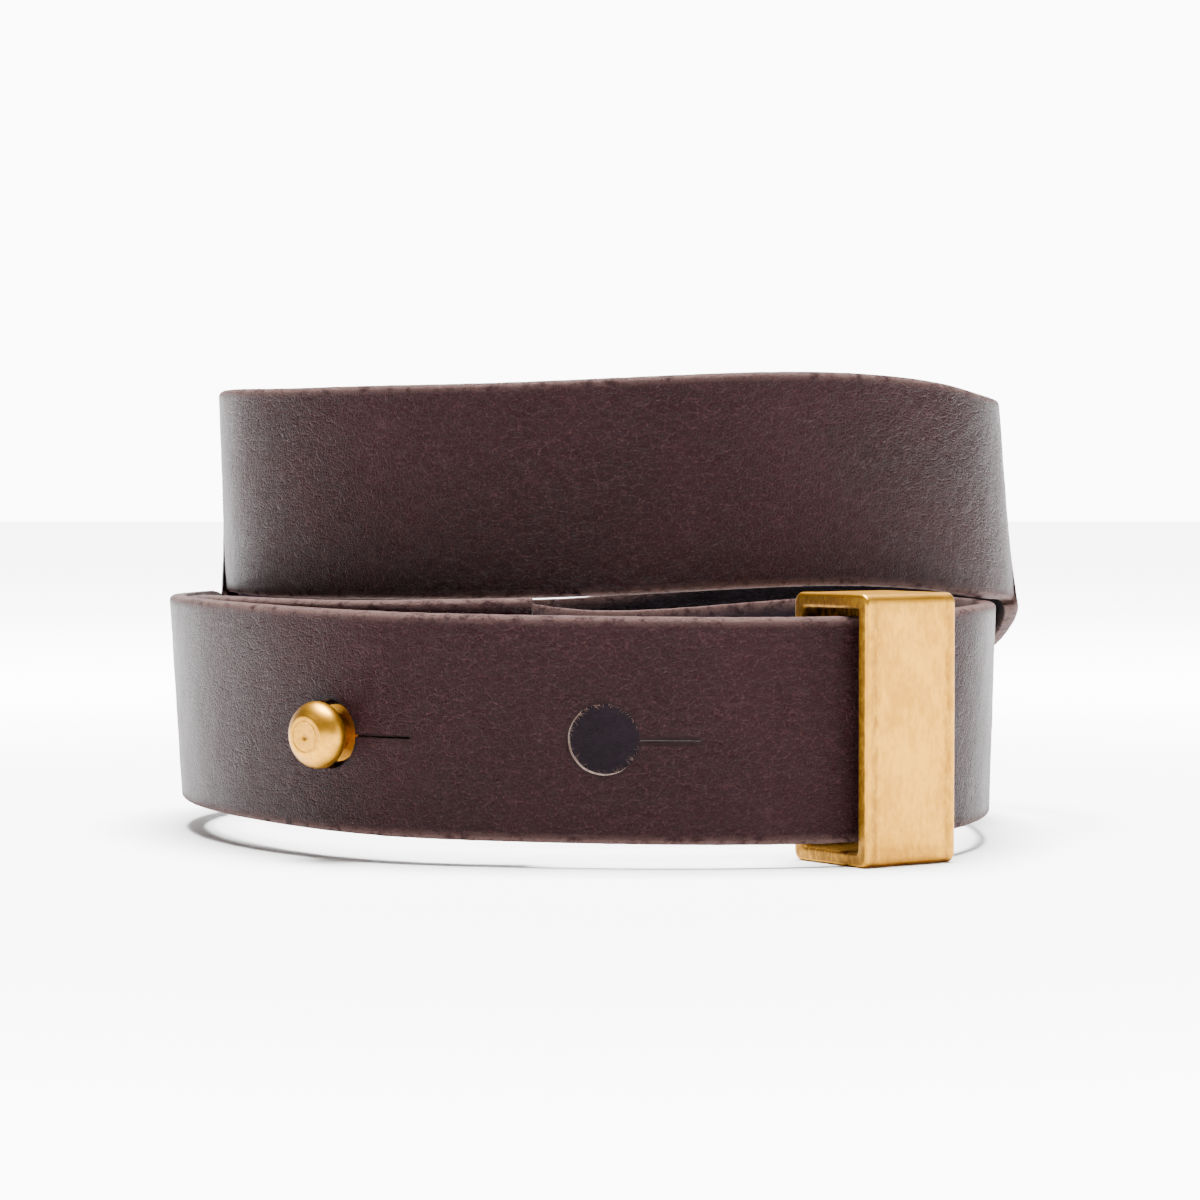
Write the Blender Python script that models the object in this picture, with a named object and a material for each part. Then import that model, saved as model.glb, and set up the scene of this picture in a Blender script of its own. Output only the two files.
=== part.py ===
"""Double-wrap leather belt, closed on its button stud and standing on its edge.

One flat strap is wound clockwise, seen from above, in two turns, one over the other. Its square end
stands inside at the front and carries the button stud. From there the strap runs round the left, climbs
outside the second turn at the back, makes the upper turn, comes down inside the first turn, passes
through the brass keeper loop and ends in the tail, which is buttoned over the stud.

Metres, +Z up, front of the belt facing -Y. The origin is the middle of the belt's footprint, on the
surface it stands on. A "turn" is an angle in degrees along the strap: 0 faces +X, 90 the front, 180 the
left, 270 the back, and it goes on counting through both turns of the coil.
"""
import math

import bmesh
import bpy
import numpy as np
from mathutils import Matrix, Vector

# Strap
STRAP_WIDTH = 0.035
STRAP_THICKNESS = 0.0027
STRAP_CHAMFER = 0.0004
TIP_LENGTH = 0.015
SECTION_STEP = 0.004
LAYER_GAP = 0.0003           # between layers and parts that touch on the real belt

# Coil
COIL_RADIUS = 0.070          # mean reach of the two turns, from the coil's axis to the strap's outer face
CROSSING_PITCH = 0.0066      # outer face to outer face where the two turns cross at the back
BAND_GAP = 0.0025            # between the tail's top edge and the upper turn at the front
END_SPRING = 0.0015          # how far the square end stands off from the tail

# Holes and slits of the tail, and the stud
HOLE_DIAMETER = 0.0110
HOLE_PITCH = 0.0451
HOLE_DROPS = (0.0020, 0.0014, 0.0012)    # each hole's centre below the strap's centre line, stud's first
HOLE_COUNT = 3
SLIT_LENGTH = 0.0092
SLIT_WIDTH = 0.0008
SLIT_END_DIAMETER = 0.0016
STUD_TURN = 129.5
STUD_HEAD_CLEARANCE = 0.0002
STUD_HEAD_RISE = 0.0005      # from the tail's face to the underside of the head
STUD_HEAD_HEIGHT = 0.0050
STUD_FACE_DIAMETER = 0.0070
STUD_NECK_DIAMETER = 0.0060
STUD_COLLAR_DIAMETER = 0.0090
STUD_COLLAR_THICKNESS = 0.0009
STUD_DIMPLE_DIAMETER = 0.0010
STUD_DIMPLE_DEPTH = 0.0004
SCREW_DIAMETER = 0.0034
SCREW_CLEARANCE = 0.0002
SCREW_REACH = 0.0042         # above the square end's grain side
SCREW_HEAD_DIAMETER = 0.0084
SCREW_HEAD_STAND_OFF = 0.0003    # the leather bends round the flat underside of the screw's head
SCREW_HEAD_THICKNESS = 0.0012
SCREW_SLOT_WIDTH = 0.0011
SCREW_SLOT_DEPTH = 0.0006
SCREW_HOLE_CLEARANCE = 0.0004
ROUND_SEGMENTS = 32

# Keeper loop
KEEPER_WIDTH = 0.0179
KEEPER_DEPTH = 0.0181
KEEPER_PLATE = 0.0023
KEEPER_BELOW = 0.0013        # under the strap's edge, inside the loop
KEEPER_ABOVE = 0.0013
KEEPER_FRONT = 0.0008
KEEPER_OFFSET = 0.0013       # the keeper's middle lies this far back along the strap from the third hole
KEEPER_OUTER_RADIUS = 0.0016
KEEPER_INNER_RADIUS = 0.0006
KEEPER_EDGE = 0.0005
KEEPER_TRAVEL_BACK = 10      # degrees of the strap's plan on each side of the keeper, whose bend sets
KEEPER_TRAVEL_FORWARD = 20   # the axis that it turns about

# Lengths that follow
HALF_WIDTH = STRAP_WIDTH / 2
HALF_THICKNESS = STRAP_THICKNESS / 2
KEEPER_HEIGHT = STRAP_WIDTH + KEEPER_BELOW + KEEPER_ABOVE + 2 * KEEPER_PLATE
FRONT_LIFT = KEEPER_PLATE + KEEPER_BELOW
UPPER_FRONT = FRONT_LIFT + STRAP_WIDTH + BAND_GAP
STUD_HEAD_DIAMETER = HOLE_DIAMETER - 2 * STUD_HEAD_CLEARANCE

# Turns at which the strap starts and ends, and where its solids meet
START_TURN = 93
LOWER_JOIN = 330
UPPER_JOIN = 565
TIP_TURN = 928
FULL_TURN = 360
FLAP_BEYOND_SLIT = 0.006     # from the second hole's slit to the line where the tail flexes

# Plan of the strap. Its outer face is given by its reach: the distance from the coil's axis to the
# tangent line that faces the turn, in millimetres for a coil radius of 70, by direction.
LOWER_PLAN = (
    (-30, 59.5), (0, 66.0), (20, 72.0), (37, 76.6), (52, 78.6), (67, 77.2), (82, 73.6), (100, 70.7),
    (115, 71.9), (130, 71.7), (145, 70.7), (161, 71.3), (180, 74.0), (205, 76.6),
)
UPPER_PLAN = (
    (0, 71.8), (15, 66.2), (30, 59.0), (45, 52.4), (60, 47.8), (75, 45.0), (90, 43.8), (105, 44.6),
    (120, 47.4), (135, 52.0), (150, 57.4), (165, 62.3), (180, 66.4), (195, 68.1),
)
FIRST_BACK_PLAN = ((215, 73.0), (250, 69.6), (285, 70.4), (320, 74.2), (345, 74.6))
LANDING_PLAN = ((-55, 64.5), (-30, 65.6))

# Height of the strap's lower edge, by turn
EDGE_HEIGHTS = (
    (START_TURN, FRONT_LIFT + 0.0028), (STUD_TURN, FRONT_LIFT + 0.0021), (160, FRONT_LIFT + 0.0018),
    (180, FRONT_LIFT + 0.0009), (205, 0.0026), (222, 0.0006), (235, 0.0), (245, 0.0009),
    (255, 0.0020), (264, 0.0024), (275, 0.0042), (290, 0.27 * STRAP_WIDTH), (305, 0.47 * STRAP_WIDTH), (322, 0.72 * STRAP_WIDTH),
    (340, UPPER_FRONT - 0.0081), (350, UPPER_FRONT - 0.0053), (360, UPPER_FRONT - 0.0032),
    (375, UPPER_FRONT - 0.0021), (388, UPPER_FRONT - 0.0014), (398, UPPER_FRONT - 0.0001),
    (408, UPPER_FRONT + 0.0009), (420, UPPER_FRONT + 0.0013), (432, UPPER_FRONT + 0.0010),
    (450, UPPER_FRONT), (465, UPPER_FRONT - 0.0007), (480, UPPER_FRONT - 0.0009),
    (500, UPPER_FRONT - 0.0010), (525, UPPER_FRONT - 0.0007), (540, UPPER_FRONT - 0.0015),
    (550, UPPER_FRONT - 0.10 * STRAP_WIDTH), (565, UPPER_FRONT - 0.26 * STRAP_WIDTH),
    (580, UPPER_FRONT - 0.49 * STRAP_WIDTH), (595, UPPER_FRONT - 0.78 * STRAP_WIDTH),
    (607, 0.17 * STRAP_WIDTH), (617, 0.0023), (627, 0.0004), (638, 0.0006), (650, 0.0018),
    (664, FRONT_LIFT - 0.0006), (690, FRONT_LIFT + 0.0003), (720, FRONT_LIFT + 0.0007),
    (742, FRONT_LIFT + 0.0008), (760, FRONT_LIFT + 0.0004), (780, FRONT_LIFT + 0.0001),
    (808, FRONT_LIFT), (822, FRONT_LIFT + 0.0003), (836, FRONT_LIFT + 0.0006),
    (STUD_TURN + 2 * FULL_TURN, FRONT_LIFT + 0.0008), (866, FRONT_LIFT + 0.0012),
    (885, FRONT_LIFT + 0.0014), (TIP_TURN, FRONT_LIFT + 0.0013),
)
# Lean of the strap, top edge outwards, in degrees, by turn
LEANS = (
    (START_TURN, 0), (STUD_TURN, 2), (180, 3.4), (225, 2.5), (270, 0), (315, -3), (360, -5), (405, -2),
    (450, 0), (540, 1.7), (600, 0), (690, 0), (720, 1.7), (760, 0), (812, 0),
    (STUD_TURN + 2 * FULL_TURN, 2), (900, 3.4), (TIP_TURN, 3.4),
)

LEATHER_BROWN = (0.055, 0.028, 0.030)
BRASS_YELLOW = (0.72, 0.50, 0.24)


def smooth_curve(stations):
    """A natural cubic spline through (turn, value) stations, as a function of the turn."""
    turns = np.array([turn for turn, _ in stations], dtype=float)
    values = np.array([value for _, value in stations], dtype=float)
    gaps = np.diff(turns)
    slopes = np.diff(values) / gaps
    matrix = np.eye(len(turns))
    right = np.zeros(len(turns))
    for row in range(1, len(turns) - 1):
        matrix[row, row - 1:row + 2] = gaps[row - 1], 2 * (gaps[row - 1] + gaps[row]), gaps[row]
        right[row] = 6 * (slopes[row] - slopes[row - 1])
    bends = np.linalg.solve(matrix, right)

    def value_at(turn):
        row = min(max(int(np.searchsorted(turns, turn)) - 1, 0), len(gaps) - 1)
        gap = gaps[row]
        after = turn - turns[row]
        left = turns[row + 1] - turn
        bend = (bends[row] * left ** 3 + bends[row + 1] * after ** 3) / (6 * gap)
        start = (values[row] / gap - bends[row] * gap / 6) * left
        end = (values[row + 1] / gap - bends[row + 1] * gap / 6) * after
        return float(bend + start + end)

    return value_at


def reach_stations():
    """(turn, reach of the outer face) stations of the whole strap, from its square end to its tip."""
    scale = COIL_RADIUS / 70
    lower, upper, back, landing = (
        [(turn, reach * scale) for turn, reach in plan]
        for plan in (LOWER_PLAN, UPPER_PLAN, FIRST_BACK_PLAN, LANDING_PLAN)
    )
    tail_face = smooth_curve(lower)
    first_back = smooth_curve(back)
    under_tail = STRAP_THICKNESS + LAYER_GAP
    stations = [(START_TURN, tail_face(START_TURN) - under_tail - END_SPRING)]
    stations += [(turn, tail_face(turn) - under_tail) for turn in (112, 130, 150, 165, 180)]
    stations += back
    stations += [(turn + FULL_TURN, reach) for turn, reach in upper]
    stations += [(turn + FULL_TURN, first_back(turn) - CROSSING_PITCH - 0.1 * STRAP_THICKNESS * offset)
                 for turn, offset in ((215, -4), (240, 0), (270, 4))]
    stations += [(turn + 2 * FULL_TURN, reach) for turn, reach in landing]
    stations += [(turn + 2 * FULL_TURN, reach) for turn, reach in lower if turn >= 0]
    return stations


edge_height = smooth_curve(EDGE_HEIGHTS)
lean = smooth_curve(LEANS)
outer_reach = smooth_curve(reach_stations())


def plan_point(turn):
    """The strap's centre line seen from above, from the tangent line and how fast its reach changes."""
    step = 0.05
    reach = outer_reach(turn) - HALF_THICKNESS
    change = (outer_reach(turn + step) - outer_reach(turn - step)) / math.radians(2 * step)
    angle = math.radians(turn)
    outward = Vector((math.cos(angle), -math.sin(angle), 0))
    onward = Vector((-math.sin(angle), -math.cos(angle), 0))
    return outward * reach + onward * change


def strap_frame(turn):
    """Centre of the strap's section and its axes: onward along the strap, up across it, and outward."""
    step = 0.05
    flat = plan_point(turn + step) - plan_point(turn - step)
    climb = edge_height(turn + step) - edge_height(turn - step)
    onward = Vector((flat.x, flat.y, climb)).normalized()
    outward = Vector((-flat.y, flat.x, 0)).normalized()
    up = outward.cross(onward).normalized()
    if up.z < 0:
        up.negate()
    tilt = math.radians(lean(turn))
    leaned_up = up * math.cos(tilt) + outward * math.sin(tilt)
    leaned_out = outward * math.cos(tilt) - up * math.sin(tilt)
    centre = plan_point(turn)
    centre.z = edge_height(turn) + HALF_WIDTH * up.z
    return centre, onward, leaned_up, leaned_out


def turn_after(turn, distance):
    """The turn reached by going a distance along the strap's centre line, back if it is negative."""
    pace = math.copysign(0.1, distance)
    left = abs(distance)
    here = strap_frame(turn)[0]
    while True:
        there = strap_frame(turn + pace)[0]
        stride = (there - here).length
        if stride >= left:
            return turn + pace * left / stride
        left -= stride
        turn += pace
        here = there


def frame_matrix(centre, side, up, out):
    """World matrix of a frame whose X is side, Y is up and Z is out."""
    matrix = Matrix((side, up, out)).transposed().to_4x4()
    matrix.translation = centre
    return matrix


def new_material(name, colour, roughness, metallic):
    material = bpy.data.materials.new(name)
    material.use_nodes = True
    shader = material.node_tree.nodes["Principled BSDF"]
    shader.inputs["Base Color"].default_value = (*colour, 1)
    shader.inputs["Roughness"].default_value = roughness
    shader.inputs["Metallic"].default_value = metallic
    return material


def leather(name):
    return new_material(name + "_leather", LEATHER_BROWN, 0.62, 0)


def brass(name):
    return new_material(name + "_brass", BRASS_YELLOW, 0.38, 1)


def add_object(name, mesh_source, matrix, material=None):
    """Turn a bmesh, given in the frame of the matrix, into an object placed by that matrix."""
    mesh = bpy.data.meshes.new(name)
    bmesh.ops.recalc_face_normals(mesh_source, faces=mesh_source.faces)
    mesh_source.to_mesh(mesh)
    mesh_source.free()
    item = bpy.data.objects.new(name, mesh)
    item.matrix_world = matrix
    bpy.context.collection.objects.link(item)
    if material:
        mesh.materials.append(material)
        mesh.shade_smooth()
        mesh.set_sharp_from_angle(angle=math.radians(35))
    return item


def add_cutter(name, mesh_source, matrix):
    cutter = add_object(name, mesh_source, matrix)
    cutter.hide_render = True
    cutter.display_type = "WIRE"
    return cutter


def cut(item, cutter):
    modifier = item.modifiers.new(cutter.name, "BOOLEAN")
    modifier.operation = "DIFFERENCE"
    modifier.solver = "EXACT"
    modifier.object = cutter


def section_points(half_width, half_thickness):
    """The strap's section, (up, out) pairs round a rectangle with chamfered corners."""
    inner_width = half_width - STRAP_CHAMFER
    inner_thickness = half_thickness - STRAP_CHAMFER
    quarter = ((half_width, inner_thickness), (inner_width, half_thickness))
    points = list(quarter)
    points += [(-up, out) for up, out in reversed(quarter)]
    points += [(-up, -out) for up, out in quarter]
    points += [(up, -out) for up, out in reversed(quarter)]
    return points


def strap_sections(first, last, tip):
    """(turn, half width) stations from first to last, a step apart, closing on a round tip if asked."""
    stations = []
    turn = first
    body_end = turn_after(last, -TIP_LENGTH) if tip else last
    while turn < turn_after(body_end, -SECTION_STEP / 2):
        stations.append((turn, HALF_WIDTH))
        turn = turn_after(turn, SECTION_STEP)
    stations.append((body_end, HALF_WIDTH))
    if tip:
        for degrees in range(20, 90, 10):
            angle = math.radians(degrees)
            beyond = TIP_LENGTH * math.sin(angle)
            stations.append((turn_after(body_end, beyond), HALF_WIDTH * math.cos(angle)))
    return stations


def add_strap(name, first, last, origin, tip=False):
    """One stretch of the strap, swept through its sections and closed at both ends."""
    solid = bmesh.new()
    rings = []
    for turn, half_width in strap_sections(first, last, tip):
        centre, _, up, out = strap_frame(turn)
        ring = [solid.verts.new(centre + up * a + out * b - origin)
                for a, b in section_points(half_width, HALF_THICKNESS)]
        rings.append(ring)
    for ring, following in zip(rings, rings[1:]):
        for a, b, c, d in zip(ring, ring[1:] + ring[:1], following[1:] + following[:1], following):
            solid.faces.new((a, b, c, d))
    solid.faces.new(rings[0])
    solid.faces.new(rings[-1])
    return add_object(name, solid, Matrix.Translation(origin), leather(name))


def lathe(profile, segments=ROUND_SEGMENTS):
    """A turned solid round Z from (radius, height) points, the first and last on the axis."""
    solid = bmesh.new()
    ends = [solid.verts.new((0, 0, profile[0][1])), solid.verts.new((0, 0, profile[-1][1]))]
    rings = []
    for radius, height in profile[1:-1]:
        angles = [2 * math.pi * step / segments for step in range(segments)]
        rings.append([solid.verts.new((radius * math.cos(angle), radius * math.sin(angle), height))
                      for angle in angles])
    for ring, following in zip(rings, rings[1:]):
        for a, b, c, d in zip(ring, ring[1:] + ring[:1], following[1:] + following[:1], following):
            solid.faces.new((a, b, c, d))
    for end, ring in zip(ends, (rings[0], rings[-1])):
        for a, b in zip(ring, ring[1:] + ring[:1]):
            solid.faces.new((end, a, b))
    return solid


def prism(outline, depth):
    """A straight solid from an (x, y) outline, reaching a depth each way along Z."""
    solid = bmesh.new()
    lower = [solid.verts.new((x, y, -depth)) for x, y in outline]
    upper = [solid.verts.new((x, y, depth)) for x, y in outline]
    solid.faces.new(lower)
    solid.faces.new(upper)
    for a, b, c, d in zip(lower, lower[1:] + lower[:1], upper[1:] + upper[:1], upper):
        solid.faces.new((a, b, c, d))
    return solid


def arc(centre_x, radius, first, last, steps):
    """Points of an arc round (centre_x, 0), between two angles in degrees."""
    angles = [math.radians(first + (last - first) * step / steps) for step in range(steps + 1)]
    return [(centre_x + radius * math.cos(angle), radius * math.sin(angle)) for angle in angles]


def slit_hole_outline():
    """A round hole with a slit towards +X that ends in a small relief hole."""
    hole = HOLE_DIAMETER / 2
    relief = SLIT_END_DIAMETER / 2
    mouth = math.degrees(math.asin(SLIT_WIDTH / 2 / hole))
    end_mouth = math.degrees(math.asin(SLIT_WIDTH / 2 / relief))
    big = arc(0, hole, mouth, 360 - mouth, ROUND_SEGMENTS)
    small = arc(hole + SLIT_LENGTH - relief, relief, -180 + end_mouth, 180 - end_mouth, 12)
    return big + small


def hole_frame(number):
    """Frame of a strap hole, X back towards the belt's body, Y up and Z out; number 0 is the stud's."""
    turn = turn_after(STUD_TURN + 2 * FULL_TURN, -number * HOLE_PITCH)
    centre, onward, up, out = strap_frame(turn)
    return frame_matrix(centre - up * HOLE_DROPS[number], -onward, up, out)


def flex_turn():
    """Where the tail's flap begins: just beyond the second hole's slit."""
    distance = HOLE_PITCH + HOLE_DIAMETER / 2 + SLIT_LENGTH + FLAP_BEYOND_SLIT
    return turn_after(STUD_TURN + 2 * FULL_TURN, -distance)


def stud_seat():
    """Frame of the stud, its origin on the square end's grain side, in the middle of the tail's hole."""
    frame = hole_frame(0)
    return frame @ Matrix.Translation((0, 0, -HALF_THICKNESS - LAYER_GAP))


def keeper_turn():
    """The keeper sits over the last hole."""
    return turn_after(STUD_TURN + 2 * FULL_TURN, -(HOLE_COUNT - 1) * HOLE_PITCH - KEEPER_OFFSET)


def keeper_axis():
    """The upright line that the keeper turns about as it slides: the centre of the strap's bend there."""
    turn = keeper_turn()
    here = plan_point(turn)
    before = plan_point(turn - KEEPER_TRAVEL_BACK) - here
    after = plan_point(turn + KEEPER_TRAVEL_FORWARD) - here
    twice_area = 2 * (before.x * after.y - before.y * after.x)
    offset_x = (after.y * before.length_squared - before.y * after.length_squared) / twice_area
    offset_y = (before.x * after.length_squared - after.x * before.length_squared) / twice_area
    return here + Vector((offset_x, offset_y, 0))


def build_strap():
    """The strap's four solids, with the stud's screw hole and the tail's slit holes."""
    flex = flex_turn()
    seat = stud_seat()
    nothing = Vector((0, 0, 0))
    inner = add_strap("strap_inner_turn", START_TURN, LOWER_JOIN, nothing)
    add_strap("strap_upper_turn", turn_after(LOWER_JOIN, LAYER_GAP), UPPER_JOIN, nothing)
    lower = add_strap("strap_lower_return", turn_after(UPPER_JOIN, LAYER_GAP), flex, nothing)
    tail = add_strap("strap_tail", turn_after(flex, LAYER_GAP), TIP_TURN, seat.translation, tip=True)

    reach = 4 * STRAP_THICKNESS
    radius = SCREW_DIAMETER / 2 + SCREW_HOLE_CLEARANCE
    cut(inner, add_cutter("cut_screw_hole", prism(arc(0, radius, 0, 345, 23), reach), seat))
    for number in range(HOLE_COUNT):
        cutter = add_cutter(f"cut_slit_hole_{number + 1}", prism(slit_hole_outline(), reach),
                            hole_frame(number))
        cut(lower if number == HOLE_COUNT - 1 else tail, cutter)


def stud_profile():
    """(radius, height) points of the stud above the square end, from the bore's bottom round to the top."""
    collar_top = LAYER_GAP + STUD_COLLAR_THICKNESS
    head_bottom = LAYER_GAP + STRAP_THICKNESS + STUD_HEAD_RISE
    face_height = head_bottom + STUD_HEAD_HEIGHT
    bore = SCREW_DIAMETER / 2 + SCREW_CLEARANCE
    bore_end = SCREW_REACH + LAYER_GAP
    neck = STUD_NECK_DIAMETER / 2
    collar = STUD_COLLAR_DIAMETER / 2
    head = STUD_HEAD_DIAMETER / 2
    face = STUD_FACE_DIAMETER / 2
    equator = head_bottom + 0.4 * STUD_HEAD_HEIGHT
    profile = [(0, bore_end), (bore, bore_end), (bore, LAYER_GAP), (collar, LAYER_GAP),
               (collar, collar_top), (neck, collar_top), (neck, head_bottom)]
    for degrees in range(-60, 0, 20):
        angle = math.radians(degrees)
        profile.append((neck + (head - neck) * math.cos(angle),
                        equator + (equator - head_bottom) * math.sin(angle)))
    top_start = math.degrees(math.acos(face / head))
    crown = (face_height - equator) / math.sin(math.radians(top_start))
    for step in range(6):
        angle = math.radians(top_start * step / 5)
        profile.append((head * math.cos(angle), equator + crown * math.sin(angle)))
    profile += [(STUD_DIMPLE_DIAMETER / 2, face_height), (0, face_height - STUD_DIMPLE_DEPTH)]
    return profile


def build_stud():
    """The turned stud head, and the slotted screw that holds it from the flesh side."""
    seat = stud_seat()
    add_object("stud_head", lathe(stud_profile()), seat, brass("stud_head"))

    back = -STRAP_THICKNESS - LAYER_GAP - SCREW_HEAD_STAND_OFF
    shank = SCREW_DIAMETER / 2
    flange = SCREW_HEAD_DIAMETER / 2
    bottom = back - SCREW_HEAD_THICKNESS
    screw = add_object("stud_screw", lathe([(0, bottom), (flange, bottom), (flange, back), (shank, back),
                                            (shank, SCREW_REACH), (0, SCREW_REACH)]),
                       seat, brass("stud_screw"))
    half_slot = SCREW_SLOT_WIDTH / 2
    slot = prism([(-flange * 2, -half_slot), (flange * 2, -half_slot),
                  (flange * 2, half_slot), (-flange * 2, half_slot)], SCREW_SLOT_DEPTH)
    cut(screw, add_cutter("cut_screw_slot", slot, seat @ Matrix.Translation((0, 0, bottom))))


def rounded_rectangle(half_depth, half_height, radius):
    """(x, y) points round a rectangle with round corners."""
    points = []
    for corner, (side, level) in enumerate(((1, 1), (-1, 1), (-1, -1), (1, -1))):
        for step in range(6):
            angle = math.radians(90 * corner + 18 * step)
            points.append((side * (half_depth - radius) + radius * math.cos(angle),
                           level * (half_height - radius) + radius * math.sin(angle)))
    return points


def build_keeper():
    """The brass loop that slides on the strap, its origin on the upright axis that it turns about."""
    turn = keeper_turn()
    centre, _, _, out = strap_frame(turn)
    out = Vector((out.x, out.y, 0)).normalized()
    side = Vector((0, 0, 1)).cross(out)
    axis = keeper_axis()
    front = (centre - axis).dot(out) + HALF_THICKNESS + KEEPER_FRONT + KEEPER_PLATE
    middle = Vector((0, front - KEEPER_DEPTH / 2, KEEPER_HEIGHT / 2))

    outer = rounded_rectangle(KEEPER_DEPTH / 2, KEEPER_HEIGHT / 2, KEEPER_OUTER_RADIUS)
    inner = rounded_rectangle(KEEPER_DEPTH / 2 - KEEPER_PLATE, KEEPER_HEIGHT / 2 - KEEPER_PLATE,
                              KEEPER_INNER_RADIUS)
    solid = bmesh.new()
    rings = []
    for outline in (outer, inner):
        for end in (-KEEPER_WIDTH / 2, KEEPER_WIDTH / 2):
            rings.append([solid.verts.new(middle + Vector((end, y, z))) for y, z in outline])
    outer_left, outer_right, inner_left, inner_right = rings
    for one, other in ((outer_left, outer_right), (inner_right, inner_left),
                       (outer_right, inner_right), (inner_left, outer_left)):
        for a, b, c, d in zip(one, one[1:] + one[:1], other[1:] + other[:1], other):
            solid.faces.new((a, b, c, d))
    place = frame_matrix(Vector((axis.x, axis.y, 0)), -side, out, Vector((0, 0, 1)))
    keeper = add_object("keeper_loop", solid, place, brass("keeper_loop"))
    bevel = keeper.modifiers.new("worn edges", "BEVEL")
    bevel.width = KEEPER_EDGE
    bevel.segments = 2
    bevel.limit_method = "ANGLE"
    bevel.angle_limit = math.radians(40)


def centre_on_footprint():
    """Move everything so that the origin is the middle of the footprint, at its lowest level."""
    bpy.context.view_layer.update()
    corners = [item.matrix_world @ vertex.co for item in bpy.data.objects if not item.hide_render
               for vertex in item.data.vertices]
    low = Vector(min(corner[axis] for corner in corners) for axis in range(3))
    high = Vector(max(corner[axis] for corner in corners) for axis in range(3))
    shift = Vector(((low.x + high.x) / 2, (low.y + high.y) / 2, low.z))
    for item in bpy.data.objects:
        item.matrix_world = Matrix.Translation(-shift) @ item.matrix_world


def main():
    for item in list(bpy.data.objects):
        bpy.data.objects.remove(item, do_unlink=True)
    build_strap()
    build_stud()
    build_keeper()
    centre_on_footprint()


main()
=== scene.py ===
"""Looks of the leather belt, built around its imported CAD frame: leather, brass, floor, light and camera.

The strap is swept again along the CAD's own route with a finer section, a worn surface and burnished
edges. A "turn" is an angle in degrees along the strap, 0 facing +X, 90 the front, 180 the left, 270 the
back, counted through both turns of the coil. Metres, +Z up, front towards -Y.
"""
import math

import bmesh
import bpy
import numpy as np
from mathutils import Matrix, Vector, noise


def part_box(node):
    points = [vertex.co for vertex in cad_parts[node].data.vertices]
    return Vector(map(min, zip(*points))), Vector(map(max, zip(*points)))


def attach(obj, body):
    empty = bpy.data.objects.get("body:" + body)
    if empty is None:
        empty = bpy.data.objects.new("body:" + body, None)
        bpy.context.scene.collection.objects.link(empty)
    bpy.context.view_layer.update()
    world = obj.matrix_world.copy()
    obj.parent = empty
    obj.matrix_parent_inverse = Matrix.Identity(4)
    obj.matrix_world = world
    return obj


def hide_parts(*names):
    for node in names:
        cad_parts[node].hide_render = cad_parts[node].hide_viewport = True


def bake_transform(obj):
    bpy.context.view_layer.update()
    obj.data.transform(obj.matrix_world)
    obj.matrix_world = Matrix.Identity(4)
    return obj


# Strap and route, as in the CAD
STRAP_WIDTH = 0.035
STRAP_THICKNESS = 0.0027
TIP_LENGTH = 0.015
LAYER_GAP = 0.0003
CROSSING_PITCH = 0.0066
BAND_GAP = 0.0025
END_SPRING = 0.0015
HALF_WIDTH = STRAP_WIDTH / 2
HALF_THICKNESS = STRAP_THICKNESS / 2
FULL_TURN = 360
START_TURN = 93
UPPER_START, UPPER_END = 330, 565
TIP_TURN = 928
STUD_TURN = 129.5
FRONT_LIFT = 0.0036
UPPER_FRONT = FRONT_LIFT + STRAP_WIDTH + BAND_GAP

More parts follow.
